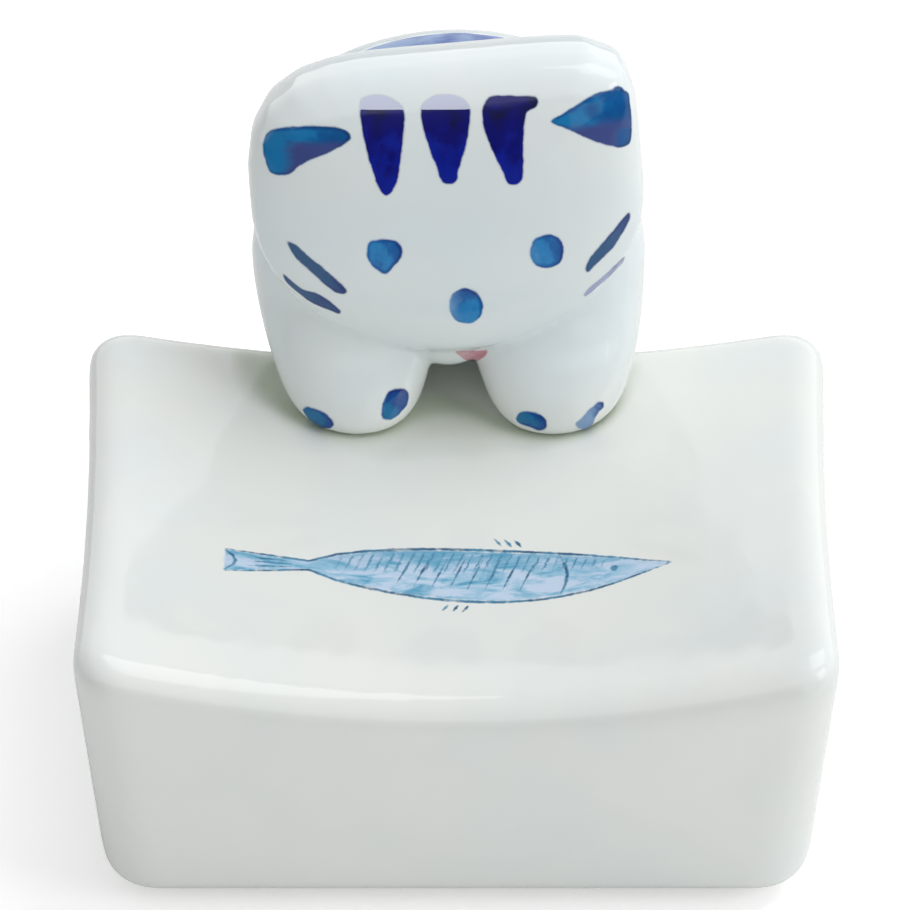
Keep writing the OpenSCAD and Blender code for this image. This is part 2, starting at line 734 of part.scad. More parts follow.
module tail_mark() {
    color(cobalt_colour) patch(brush(tail_mark_w, tail_mark_l), tail_lay(tail_mark_share), 4);
}

// The fish: a plain slender fish, its tail towards -X, with a pale wash and a drawn line. Places
// on it are shares: 0 to 1 from the tail to the snout, and -1 to 1 from the belly to the back.
fish_x = -0.48;
fish_y = fish_in - plate_d;
fish_steps = 16;
fish_root_share = 0.19;
fish_gill_share = 0.745;
tail_share = 0.43;
root_share = 0.17;
// The fish bends a little, its tail to the back and its head to the front
fish_bend = 0.3;
function fish_depth(s) =
    s < fish_root_share ? mix(tail_share, root_share, s / fish_root_share) :
    mix(root_share, 1, pow(sin(180 * pow((s - fish_root_share) / (1 - fish_root_share), 0.9)), 0.75))
    * (1 - pow(s, 12));
function fish_place(s, t) = [(s - 0.5) * fish_l, fish_depth(s) * fish_w / 2 * t + fish_bend * sin(360 * s)];
fish_lay = function (x, y, lift) [fish_x + x, fish_y + y, plate_top(fish_x + x, fish_y + y) + lift];

wash_share = 0.94;
module fish_wash() {
    color(wash_colour) patch(
        [for (k = [0:fish_steps]) let (s = k / fish_steps) [fish_place(s, wash_share), fish_place(s, -wash_share)]],
        fish_lay
    );
}

// A drawn line along a path of points, which thins to its ends
function stroke(path, w = line_w) = [
    for (k = [0:len(path) - 1])
        let (
            last = len(path) - 1,
            along = unit(path[min(k + 1, last)] - path[max(k - 1, 0)]),
            side = turned(along, 90) * w / 2 * mix(0.35, 1, round_off(2 * k / last - 1))
        ) [path[k] + side, path[k] - side]
];
module fish_stroke(path, w = line_w) {
    patch(stroke(path, w), fish_lay, 1);
}
module fish_edge(t, from, to) {
    fish_stroke([for (k = [0:fish_steps]) fish_place(mix(from, to, k / fish_steps), t)]);
}
fish_eye_share = [0.87, 0.15];
fish_eye_d = 0.55;
fine_share = 0.75;
hatch_count = 8;
hatch_from_share = 0.4;
hatch_lean_share = 0.03;
ray_shares = [-0.45, 0.05, 0.5];
fin_h = 0.8;
fin_rays = 3;
fin_pitch_share = 0.022;
back_fin_share = 0.62;
belly_fin_share = 0.5;

// A fin of short rays that lean to the tail, on the back or on the belly
module fish_fin(from, t, h) {
    for (k = [0:fin_rays - 1])
        let (foot = fish_place(from + k * fin_pitch_share, t))
            fish_stroke([foot, foot + [-h * 0.25, h * 0.5 * sign(t)], foot + [-h * 0.6, h * sign(t)]]);
}
module fish_lines() {
    color(cobalt_colour) {
        fish_edge(1, 0, 1);
        fish_edge(-1, 0, 1);
        // The end of the tail, its rays and the gill
        fish_stroke([for (t = [-1:0.5:1]) fish_place(0.025 * (1 - t * t), t * 0.9)]);
        for (t = ray_shares)
            fish_stroke([for (k = [0:2]) fish_place(0.05 + 0.05 * k, t)], line_w * fine_share);
        fish_stroke([for (t = [-0.9:0.45:0.9]) fish_place(fish_gill_share + 0.02 * (1 - t * t), t)]);
        // Hatching along the flank, and the eye
        for (k = [0:hatch_count - 1])
            let (s = mix(hatch_from_share, fish_gill_share - hatch_lean_share, k / hatch_count))
                fish_stroke([for (t = [-0.55, 0.05, 0.65]) fish_place(s + hatch_lean_share * t, t)], line_w * fine_share);
        patch(placed(brush(fish_eye_d, fish_eye_d), fish_place(fish_eye_share[0], fish_eye_share[1])), fish_lay);
        fish_fin(back_fin_share, 1.15, fin_h);
        fish_fin(belly_fin_share, -1.15, fin_h * fine_share);
    }
}

// The finished part, with the middle of its footprint at the origin
module in_frame() {
    translate([0, (plate_d - whole_reach) / 2, 0]) children();
}

in_frame() plate();
in_frame() foot_rim();
in_frame() cat_head();
in_frame() chin();
in_frame() cat_body();
in_frame() foreleg_left();
in_frame() foreleg_right();
in_frame() hindleg_left();
in_frame() hindleg_right();
in_frame() cat_tail();
in_frame() ear_left();
in_frame() ear_right();
in_frame() forehead_stripes();
in_frame() eye_left();
in_frame() eye_right();
in_frame() nose();
in_frame() whiskers_left();
in_frame() whiskers_right();
in_frame() mouth();
in_frame() toe_marks_left();
in_frame() toe_marks_right();
in_frame() back_stripes();
in_frame() tail_mark();
in_frame() fish_wash();
in_frame() fish_lines();
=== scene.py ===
import math

import bmesh
import bpy
import numpy as np
from mathutils import Matrix, Vector
from mathutils.bvhtree import BVHTree


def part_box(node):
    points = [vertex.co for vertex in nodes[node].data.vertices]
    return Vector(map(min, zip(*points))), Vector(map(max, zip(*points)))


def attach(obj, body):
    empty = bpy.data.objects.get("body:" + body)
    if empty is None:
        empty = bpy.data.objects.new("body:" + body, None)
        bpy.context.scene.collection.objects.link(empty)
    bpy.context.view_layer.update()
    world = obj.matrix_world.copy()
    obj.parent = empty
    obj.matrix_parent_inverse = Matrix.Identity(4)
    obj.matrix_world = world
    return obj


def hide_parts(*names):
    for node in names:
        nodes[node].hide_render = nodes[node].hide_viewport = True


# A white porcelain chopstick rest: a pillowed block, a striped cat leaning over its
# rear edge, and a fish drawn on the block. Lengths are millimetres unless a name ends
# in _m, and the finished meshes are scaled to metres.

MM = 0.001
# Corners of a CAD mesh that lie this close are one corner
WELD = 0.001
# Keeps a division by the length of a very short line from failing
TINY = 1e-12
# Points whose distances are worked out at once, which bounds the memory
CHUNK = 4000

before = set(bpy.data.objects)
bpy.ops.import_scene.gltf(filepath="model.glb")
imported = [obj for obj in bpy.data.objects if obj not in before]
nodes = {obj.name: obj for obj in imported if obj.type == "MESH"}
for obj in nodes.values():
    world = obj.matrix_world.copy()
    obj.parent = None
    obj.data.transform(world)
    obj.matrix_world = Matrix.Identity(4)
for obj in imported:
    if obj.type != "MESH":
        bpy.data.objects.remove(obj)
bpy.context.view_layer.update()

CAT_NODES = ["cat_head", "chin", "cat_body", "foreleg_left", "foreleg_right",
             "hindleg_left", "hindleg_right", "cat_tail"]


# Mesh helpers

def welded(node):
    """A bmesh of one CAD node in millimetres, its doubled corners merged."""
    bm = bmesh.new()
    bm.from_mesh(nodes[node].data)
    bmesh.ops.remove_doubles(bm, verts=bm.verts, dist=WELD * MM)
    bmesh.ops.scale(bm, vec=(1 / MM,) * 3, verts=bm.verts)
    bmesh.ops.recalc_face_normals(bm, faces=bm.faces)
    bm.normal_update()
    return bm


def points_of(mesh):
    co = np.empty(len(mesh.vertices) * 3, np.float32)
    mesh.vertices.foreach_get("co", co)
    return co.reshape(-1, 3).astype(float)


def normals_of(mesh):
    no = np.empty(len(mesh.vertices) * 3, np.float32)
    mesh.vertex_normals.foreach_get("vector", no)
    return no.reshape(-1, 3).astype(float)


def quads_of(mesh):
    loops = np.empty(len(mesh.loops), np.int32)
    mesh.loops.foreach_get("vertex_index", loops)
    return loops.reshape(-1, 4)


def edges_of(mesh):
    e = np.empty(len(mesh.edges) * 2, np.int32)
    mesh.edges.foreach_get("vertices", e)
    return e.reshape(-1, 2)


def in_scene(name, data):
    """A new object of the scene that shows some data."""
    obj = bpy.data.objects.new(name, data)
    bpy.context.scene.collection.objects.link(obj)
    return obj


def averaged(values, edges, count, passes):
    """Values at vertices, each pass halfway to the mean of the neighbours'."""
    degree = np.bincount(edges.ravel(), minlength=count).astype(float)
    for _ in range(passes):
        total = np.zeros_like(values)
        for axis in range(values.shape[1]):
            total[:, axis] = (np.bincount(edges[:, 0], values[edges[:, 1], axis], count)
                              + np.bincount(edges[:, 1], values[edges[:, 0], axis], count))
        values = (values + total / degree[:, None]) / 2
    return values


def glazed_skin(names, voxel, swell, passes):
    """One smooth quad skin over the CAD solids, as glaze runs over and softens them."""
    joined = bmesh.new()
    for name in names:
        bm = welded(name)
        for v in bm.verts:
            v.co += v.normal * swell
        part = bpy.data.meshes.new("part")
        bm.to_mesh(part)
        joined.from_mesh(part)
        bpy.data.meshes.remove(part)
        bm.free()
    mesh = bpy.data.meshes.new("skin")
    joined.to_mesh(mesh)
    joined.free()
    obj = in_scene("skin", mesh)
    remesh = obj.modifiers.new("remesh", "REMESH")
    remesh.mode, remesh.voxel_size = "VOXEL", voxel
    smooth = obj.modifiers.new("smooth", "SMOOTH")
    smooth.factor, smooth.iterations = 0.5, passes
    made = bpy.data.meshes.new_from_object(
        obj.evaluated_get(bpy.context.evaluated_depsgraph_get()))
    bpy.data.objects.remove(obj)
    return made


def set_attribute(mesh, name, values):
    attribute = mesh.attributes.new(name, "FLOAT", "POINT")
    attribute.data.foreach_set("value", np.asarray(values, np.float32))


def finished(name, mesh, material, replaced):
    """Puts a mesh made in millimetres into the scene as a piece of the object."""
    mesh.transform(Matrix.Scale(MM, 4))
    mesh.name = name
    mesh.materials.clear()
    mesh.materials.append(material)
    mesh.shade_smooth()
    obj = in_scene(name, mesh)
    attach(obj, "root")
    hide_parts(*replaced)


# Paint laid on a skin

# An edge of a painted solid is its rim where its faces fold by more than this
RIM_FOLD = math.radians(50)
# A point is in the paint if a line through it, from so far under the skin and so long,
# meets the painted solid
UNDER, THROUGH = 0.7, 1.5
# More than half the diagonal of a quad of the skin, and the room round a mark's corners
QUAD_REACH = 0.6
BOX_MARGIN = 1
# Cut corners of neighbouring quads that lie this close are one
MERGE = 0.002
# A stroke's axes point down, or to the left where level, so that each run paints alike
DOWN_OR_LEFT = (0.01, 0, 1)
# How deep a layer's underside and its rim lie in the skin
SUNK = 0.05
RIM_SUNK = 0.01


def distances(co, start, end, no=None):
    """How far each point is from the nearest of the lines from start to end, seen along
    the point's normal if normals are given."""
    least = np.empty(len(co))
    for first in range(0, len(co), CHUNK):
        part = slice(first, first + CHUNK)
        a, b = start - co[part, None], end - co[part, None]
        if no is not None:
            n = no[part, None]
            a = a - n * (a * n).sum(-1, keepdims=True)
            b = b - n * (b * n).sum(-1, keepdims=True)
        d = b - a
        t = np.clip(-(a * d).sum(-1) / np.maximum((d * d).sum(-1), TINY), 0, 1)
        least[part] = np.linalg.norm(a + t[..., None] * d, axis=-1).min(1)
    return least


class Mark:
    """The painted shapes of one CAD node: their rims, and which of them is nearest."""

    def __init__(self, node):
        bm = welded(node)
        bm.faces.ensure_lookup_table()
        self.tree = BVHTree.FromBMesh(bm)
        rim = [e for e in bm.edges if len(e.link_faces) == 2
               and e.calc_face_angle(0) > RIM_FOLD]
        self.start = np.array([e.verts[0].co[:] for e in rim])
        self.end = np.array([e.verts[1].co[:] for e in rim])
        co = np.array([v.co[:] for v in bm.verts])
        self.low, self.high = co.min(0), co.max(0)
        self.part_of_face = np.full(len(bm.faces), -1)
        self.frames = []
        for face in bm.faces:
            if self.part_of_face[face.index] >= 0:
                continue
            found, todo = {}, [face]
            while todo:
                f = todo.pop()
                if self.part_of_face[f.index] < 0:
                    self.part_of_face[f.index] = len(self.frames)
                    found.update(dict.fromkeys(f.verts))
                    todo += [n for e in f.edges for n in e.link_faces]
            own = np.array([v.co[:] for v in found])
            middle = own.mean(0)
            axes = np.linalg.svd(own - middle, full_matrices=False)[2]
            axes *= np.where(axes @ DOWN_OR_LEFT > 0, -1, 1)[:, None]
            reach = (own - middle) @ axes.T
            self.frames.append((middle, axes, reach.min(0), reach.max(0)))
        self.order = np.argsort(np.argsort([f[0][2] for f in self.frames]))
        bm.free()

    def close(self, co, reach):
        """Which points of the skin lie near enough to this paint to carry its layer."""
        return np.array([self.tree.find_nearest(Vector(p), reach)[0] is not None for p in co])

    def depth(self, co, no):
        """Signed distance to the rim at points of the skin, above zero in the paint."""
        inside = np.array([
            self.tree.ray_cast(Vector(p - UNDER * n), Vector(n), THROUGH)[0] is not None
            for p, n in zip(co, no)])
        least = distances(co, self.start, self.end, no)
        return np.where(inside, least, -least)

    def stroke_places(self, co):
        """Where each point lies along its stroke, 0 to 1, and across it in millimetres,
        and which stroke it is, counted from below."""
        part = np.array([self.part_of_face[self.tree.find_nearest(Vector(p))[2]] for p in co])
        along, across = np.zeros(len(co)), np.zeros(len(co))
        for i, (middle, axes, low, high) in enumerate(self.frames):
            own = part == i
            at = (co[own] - middle) @ axes.T
            along[own] = (at[:, 0] - low[0]) / max(high[0] - low[0], TINY)
            across[own] = at[:, 1]
        return along, across, self.order[part]


def paint_layer(skin, mark, parts, margin, lift):
    """A thin closed layer over the skin wherever the mark lies within margin of it, each
    quad of the skin cut into parts by parts. Returns the mesh, the skin's points under its
    top, the normals of all its points, and the depth of the skin's points in the mark."""
    co, no, quads = points_of(skin), normals_of(skin), quads_of(skin)
    middle = co[quads].mean(1)
    boxed = (middle > mark.low - BOX_MARGIN) & (middle < mark.high + BOX_MARGIN)
    near = quads[boxed.all(1)]
    near = near[mark.close(co[near].mean(1), margin + QUAD_REACH)]
    share = np.linspace(0, 1, parts + 1)
    u, v = np.meshgrid(share, share, indexing="ij")
    weights = np.stack([(1 - u) * (1 - v), u * (1 - v), u * v, (1 - u) * v], -1)
    fine_co = np.einsum("ijc,fcx->fijx", weights, co[near])
    fine_no = np.einsum("ijc,fcx->fijx", weights, no[near])
    index = np.arange(fine_co[..., 0].size).reshape(fine_co.shape[:3])
    fine = np.stack([index[:, :-1, :-1], index[:, 1:, :-1], index[:, 1:, 1:],
                     index[:, :-1, 1:]], -1).reshape(-1, 4)
    fine_co, fine_no = fine_co.reshape(-1, 3), fine_no.reshape(-1, 3)
    _, first, back = np.unique(np.round(fine_co / MERGE).astype(int), axis=0,
                               return_index=True, return_inverse=True)
    fine_co, fine_no, fine = fine_co[first], fine_no[first], back.reshape(-1)[fine]
    fine_no /= np.linalg.norm(fine_no, axis=1, keepdims=True)
    depth = mark.depth(fine_co, fine_no)
    used, kept = np.unique(fine[(depth[fine] > -margin).any(1)], return_inverse=True)
    kept = kept.reshape(-1, 4)
    fine_co, fine_no, depth = fine_co[used], fine_no[used], depth[used]
    sides = np.concatenate([kept[:, [i, (i + 1) % 4]] for i in range(4)])
    _, which, count = np.unique(np.sort(sides, 1), axis=0, return_inverse=True,
                                return_counts=True)
    rim = sides[count[which.reshape(-1)] == 1]
    inner = np.clip(1 + depth[:, None] / margin, 0, 1)
    raised = (lift + RIM_SUNK) * np.clip(2 * inner, 0, 1) - RIM_SUNK
    points = np.concatenate([fine_co + raised * fine_no, fine_co - SUNK * fine_no])
    n = len(fine_co)
    faces = np.concatenate([kept, kept[:, ::-1] + n,
                            np.stack([rim[:, 1], rim[:, 0], rim[:, 0] + n, rim[:, 1] + n], -1)])
    mesh = bpy.data.meshes.new("paint")
    mesh.from_pydata(points.tolist(), [], faces.tolist())
    mesh.update()
    return mesh, fine_co, np.concatenate([fine_no, -fine_no]), depth


def painted(node, mark, skin, material, thin=None, margin=0.14, parts=3, lift=0.02):
    """The paint that stands for one CAD node. The function given after the material tells how pale
    the paint is, where it is thin and where a painted highlight or painted reflection lies, from
    the stroke's number, the place along it and the place across it."""
    mesh, top, normals, depth = paint_layer(skin, mark, parts, margin, lift)
    edges = edges_of(mesh)
    top_edges = edges[(edges < len(top)).all(1)]
    depth = averaged(depth[:, None], top_edges, len(top), passes=3)[:, 0]
    along, across, stroke = mark.stroke_places(top)
    thin_and_lit_at = thin(stroke, along, across) if thin else np.zeros(len(top))
    for name, values in (("depth", depth), ("along", along), ("across", across),
                         ("stroke", stroke), ("thin", thin_and_lit_at)):
        set_attribute(mesh, name, np.concatenate([values, values]))
    finished(node + "_paint", mesh, material, [node])
    mesh.normals_split_custom_set_from_vertices(normals.tolist())


# Materials

class Nodes:
    """The node tree of a material or a world, with short calls for the nodes used here."""

    def __init__(self, owner):
        owner.use_nodes = True
        self.owner, self.tree = owner, owner.node_tree
        self.shader = self.tree.nodes.get("Principled BSDF")

    def add(self, kind, values=None, **settings):
        node = self.tree.nodes.new(kind)
        for key, value in settings.items():
            setattr(node, key, value)
        for key, value in (values or {}).items():
            self.put(node.inputs[key], value)
        return node

    def put(self, socket, value):
        if isinstance(value, bpy.types.NodeSocket):
            self.tree.links.new(value, socket)
        else:
            socket.default_value = value

    def math(self, operation, *values):
        node = self.add("ShaderNodeMath", operation=operation)
        for socket, value in zip(node.inputs, values):
            self.put(socket, value)
        return node.outputs[0]

    def ranged(self, value, low, high, to_low=0.0, to_high=1.0, kind="SMOOTHSTEP"):
        node = self.add("ShaderNodeMapRange", {"Value": value, "From Min": low, "From Max": high,
                                               "To Min": to_low, "To Max": to_high},
                        interpolation_type=kind)
        return node.outputs["Result"]

    def mix(self, share, a, b):
        node = self.add("ShaderNodeMix", data_type="RGBA")
        for index, value in ((0, share), (6, a), (7, b)):
            self.put(node.inputs[index], value)
        return node.outputs[2]

    def noise(self, vector, scale, detail=2.0, roughness=0.5, distortion=0.0):
        node = self.add("ShaderNodeTexNoise", {"Vector": vector, "Scale": scale, "Detail": detail,
                                               "Roughness": roughness, "Distortion": distortion})
        return node.outputs["Fac"]

    def attribute(self, name):
        return self.add("ShaderNodeAttribute", attribute_name=name).outputs["Fac"]

    def place(self):
        """The point's place in millimetres in the object's own frame."""
        at = self.add("ShaderNodeTexCoord").outputs["Object"]
        node = self.add("ShaderNodeVectorMath", {0: at, "Scale": 1 / MM}, operation="SCALE")
        return node.outputs[0]

    def combined(self, x, y, z=0.0):
        return self.add("ShaderNodeCombineXYZ", {0: x, 1: y, 2: z}).outputs[0]

    def separated(self, vector):
        return self.add("ShaderNodeSeparateXYZ", {0: vector}).outputs

    def settled(self, values):
        """Sets sockets of the shader to values that are the same all over."""
        for name, value in values.items():
            self.shader.inputs[name].default_value = value


def new_material(name):
    return Nodes(bpy.data.materials.new(name))


def colour(red, green, blue):
    """A colour written as it shows on a screen, 0 to 255, as the shaders hold it, by the
    sRGB curve."""
    def linear(c):
        c /= 255
        return c / 12.92 if c < 0.04045 else ((c + 0.055) / 1.055) ** 2.4
    return (linear(red), linear(green), linear(blue), 1)


GLAZE = colour(232, 235, 231)
GLAZE_COOL = colour(228, 233, 231)
GLAZE_HIGH = colour(231, 237, 237)
GLAZE_HIGH_COOL = colour(225, 235, 238)
# Pooled glaze and painted shade: the colour of the hollows, darker where other porcelain shuts off
# the light
GLAZE_POOLED_SHADE = colour(184, 194, 176)
SPECK = colour(104, 112, 108)
# The clear glossy glaze over everything but the foot
GLAZE_GLOSS = {"Roughness": 0.5, "Specular IOR Level": 0.05, "Coat Weight": 1.0,
               "Coat Roughness": 0.06, "Coat IOR": 1.4}
# The heights between which the glaze turns from the block's to the cat's
TONE_LOW, TONE_HIGH = 17.5, 22


def glaze_ripple(n, place):
    """The slow unevenness of fired glaze."""
    broad = n.math("MULTIPLY", n.noise(place, scale=0.16, detail=1.0), 0.8)
    fine = n.math("MULTIPLY", n.noise(place, scale=0.9), 0.08)
    bump = n.add("ShaderNodeBump", {"Height": n.math("ADD", broad, fine), "Strength": 0.25,
                                    "Distance": 0.0002})
    return bump.outputs["Normal"]


def glaze_tone(n, place):
    """White with slightly cooler patches, and bluer on the cat, above the block."""
    patches = n.ranged(n.noise(place, scale=0.11), 0.35, 0.7)
    return n.mix(n.ranged(n.separated(place)["Z"], TONE_LOW, TONE_HIGH),
                 n.mix(patches, GLAZE, GLAZE_COOL),
                 n.mix(patches, GLAZE_HIGH, GLAZE_HIGH_COOL))


def glazed(n, tone, place):
    """Puts a colour under the clear glaze."""
    n.put(n.shader.inputs["Base Color"], tone)
    normal = glaze_ripple(n, place)
    n.put(n.shader.inputs["Normal"], normal)
    n.put(n.shader.inputs["Coat Normal"], normal)
    n.settled(GLAZE_GLOSS)
    return n.owner


def glaze(name):
    """The white glaze, greener and darker in the hollows from pooled glaze and painted shade, with
    a few iron specks.
    """
    n = new_material(name)
    place = n.place()
    tone = n.mix(n.attribute("pool_and_shade"), glaze_tone(n, place), GLAZE_POOLED_SHADE)
    cells = n.add("ShaderNodeTexVoronoi", {"Vector": place, "Scale": 0.12, "Randomness": 1.0})
    speck = n.ranged(cells.outputs["Distance"], 0.006, 0.014, to_low=0.55, to_high=0)
    return glazed(n, n.mix(speck, tone, SPECK), place)


def brushed(name, dark, middle, light, pale, rim=0.5, streak=3.0, end=0.5, wobble=0.16):
    """Underglaze blue from a loaded brush: streaks along the stroke, a darker rim where the paint
    pools, one end fuller than the other, pale where the paint is thin and where a painted highlight
    or painted reflection lies, and an edge that bleeds a little."""
    n = new_material(name)
    place = n.place()
    depth, along, across, stroke, thin = (
        n.attribute(a) for a in ("depth", "along", "across", "stroke", "thin"))
    waver = n.math("SUBTRACT", n.noise(place, scale=1.7, detail=3.0), 0.5)
    edge = n.math("ADD", depth, n.math("MULTIPLY", waver, wobble))
    ink = n.ranged(edge, -0.06, 0.06)
    halo = n.ranged(edge, -0.13, 0.02, to_high=0.25)
    bristles = n.combined(n.math("MULTIPLY", along, streak), n.math("MULTIPLY", across, 2.2),
                          n.math("MULTIPLY", stroke, 7.3))
    grain = n.noise(bristles, scale=1.0, detail=3.0, roughness=0.6)
    blots = n.noise(place, scale=0.8)
    pooled = n.ranged(edge, 0.3, 0.03, to_high=rim)
    full = n.ranged(along, end - 0.45, end + 0.45, to_low=-0.05, to_high=0.45, kind="LINEAR")
    load = n.math("ADD", n.math("MULTIPLY", grain, 0.7), n.math("MULTIPLY", blots, 0.5))
    load = n.math("ADD", n.math("SUBTRACT", load, 0.1), n.math("SUBTRACT", pooled, full))
    paint = n.mix(n.ranged(load, 0.15, 0.45), light, middle)
    paint = n.mix(n.ranged(load, 0.42, 0.8), paint, dark)
    # Pale where the paint is thin, and where a painted highlight or painted reflection lies
    thin_and_lit_share = n.math("ADD", thin, n.math("MULTIPLY", n.math("SUBTRACT", grain, 0.5), 0.9))
    thin_and_lit_share = n.math("MULTIPLY", n.ranged(thin_and_lit_share, 0.15, 0.85), n.ranged(thin, 0.0, 0.1))
    paint = n.mix(thin_and_lit_share, paint, pale)
    ground = n.mix(halo, glaze_tone(n, place), light)
    return glazed(n, n.mix(ink, ground, paint), place)


INK_DARK, INK_MIDDLE = colour(46, 94, 130), colour(74, 136, 170)
WASH_PALE, WASH, WASH_TEAL = colour(194, 213, 235), colour(150, 194, 220), colour(76, 154, 190)
# The slant of the fish's hatching, and the distance from line to line
HATCH_SLANT, HATCH_SPACING = math.radians(71), 0.55


def fish_paint(name, low, high):
    """A plain fish, drawn with a fine pen over a mottled wash: a thin outline that comes
    and goes, and even hatching and a deeper tone along the back over a pale belly."""
    n = new_material(name)
    place = n.place()
    wash_depth, ink_depth = n.attribute("wash"), n.attribute("ink")
    axes = n.separated(place)
    along = n.ranged(axes[0], low[0], high[0], kind="LINEAR")
    across = n.ranged(axes[1], low[1], high[1], to_low=-1, to_high=1, kind="LINEAR")
    waver = n.math("SUBTRACT", n.noise(place, scale=2.6, detail=3.0), 0.5)
    mottle = n.noise(n.combined(n.math("MULTIPLY", axes[0], 0.42),
                                n.math("MULTIPLY", axes[1], 1.1)),
                     scale=1.0, detail=4.0, roughness=0.62, distortion=0.6)
    wash = n.mix(n.ranged(mottle, 0.42, 0.56), WASH_PALE, WASH)
    wash = n.mix(n.ranged(mottle, 0.54, 0.68, to_high=0.85), wash, WASH_TEAL)
    back = n.math("MULTIPLY", n.ranged(across, -0.1, 0.9),
                  n.ranged(mottle, 0.3, 0.6, to_low=0.35))
    wash = n.mix(n.math("MULTIPLY", back, 0.75), wash, WASH_TEAL)

    turned = n.math("ADD",
                    n.math("MULTIPLY", axes[0], math.sin(HATCH_SLANT) / HATCH_SPACING),
                    n.math("MULTIPLY", axes[1], -math.cos(HATCH_SLANT) / HATCH_SPACING))
    shaken = n.math("ADD", turned, n.math("MULTIPLY", waver, 0.5))
    hatch = n.math("ABSOLUTE", n.math("SUBTRACT", n.math("FRACT", shaken), 0.5))
    drawn = n.math("MULTIPLY", n.ranged(hatch, 0.17, 0.08),
                   n.ranged(n.noise(place, scale=1.5), 0.3, 0.5, to_low=0.3))
    where = n.math("MULTIPLY", n.ranged(along, 0.22, 0.3), n.ranged(along, 0.9, 0.8))
    where = n.math("MULTIPLY", where, n.ranged(across, 0.0, 0.35))
    where = n.math("MULTIPLY", where, n.ranged(wash_depth, 0.1, 0.3))
    marks = n.math("MULTIPLY", n.math("MULTIPLY", drawn, where), 0.85)

    wash_edge = n.math("ADD", wash_depth, n.math("MULTIPLY", waver, 0.25))
    tone = n.mix(n.ranged(wash_edge, -0.1, 0.1), glaze_tone(n, place), wash)
    tone = n.mix(n.math("MULTIPLY", marks, n.ranged(wash_edge, 0, 0.1)), tone, INK_MIDDLE)
    line_edge = n.math("ADD", ink_depth, n.math("MULTIPLY", waver, 0.14))
    line = n.math("MULTIPLY", n.ranged(line_edge, -0.02, 0.09),
                  n.ranged(n.noise(place, scale=1.3, detail=3.0), 0.3, 0.5, to_low=0.6))
    pen = n.mix(n.ranged(n.noise(place, scale=0.9), 0.4, 0.6), INK_MIDDLE, INK_DARK)
    return glazed(n, n.mix(line, tone, pen), place)


CLAY_PALE, CLAY_DARK = colour(224, 214, 198), colour(203, 188, 168)


def bare_clay(name):
    """Fired clay without glaze: cream, matt and finely grained."""
    n = new_material(name)
    speckle = n.noise(n.place(), scale=6.0, detail=4.0, roughness=0.7)
    n.put(n.shader.inputs["Base Color"],
          n.mix(n.ranged(speckle, 0.4, 0.7), CLAY_PALE, CLAY_DARK))
    n.settled({"Roughness": 0.85})
    bump = n.add("ShaderNodeBump", {"Height": speckle, "Strength": 0.5, "Distance": 0.00008})
    n.put(n.shader.inputs["Normal"], bump.outputs["Normal"])
    return n.owner


# The camera, which also says where a mark seen in the picture lies

# The picture's side and the focal length, in pixels, and the side of the sensor
PICTURE = 910
FOCAL_PIXELS = 8480
SENSOR = 36
CLIP_NEAR_M, CLIP_FAR_M = 0.01, 10
AIM_M = Vector((-0.0001, -0.00765, 0.02275))
ELEVATION, DISTANCE_M = math.radians(40), 0.5
camera = in_scene("camera", bpy.data.cameras.new("camera"))
camera.location = AIM_M + DISTANCE_M * Vector((0, -math.cos(ELEVATION), math.sin(ELEVATION)))
camera.rotation_euler = (math.pi / 2 - ELEVATION, 0, 0)
camera.data.sensor_width = SENSOR
camera.data.lens = FOCAL_PIXELS / PICTURE * SENSOR
camera.data.clip_start, camera.data.clip_end = CLIP_NEAR_M, CLIP_FAR_M
bpy.context.scene.camera = camera

# Lines from the camera that meet an edge of a mesh can miss it, so each is tried again
# with its point shifted by so much, and what it meets is the same place if so near
SHIFTS = (0, 0.013, -0.017)
SAME_PLACE = 0.4


def seen_at(tree, across, down):
    """The point of a skin that shows at a place in the picture, in millimetres."""
    turn = camera.rotation_euler.to_matrix()
    ray = turn @ Vector((across - PICTURE / 2, PICTURE / 2 - down, -FOCAL_PIXELS)).normalized()
    return np.array(tree.ray_cast(camera.location / MM, ray)[0])


def picture_places(co):
    """Where points given in millimetres show in the picture, across and down."""
    turn = np.array(camera.rotation_euler.to_matrix())
    at = (co - np.array(camera.location) / MM) @ turn
    return np.stack([PICTURE / 2 - FOCAL_PIXELS * at[:, 0] / at[:, 2],
                     PICTURE / 2 + FOCAL_PIXELS * at[:, 1] / at[:, 2]], 1)


def rounded(corners, steps=6):
    """A closed smooth line through the corners of an outline, by the Catmull-Rom formula."""
    p = np.array(corners, float)
    t = (np.arange(steps) / steps)[None, :, None]
    a, b, c, d = (np.roll(p, shift, 0)[:, None] for shift in (1, 0, -1, -2))
    square = a - 2.5 * b + 2 * c - d / 2
    cube = 1.5 * (b - c) + (d - a) / 2
    return (b + t * ((c - a) / 2 + t * (square + t * cube))).reshape(-1, 2)


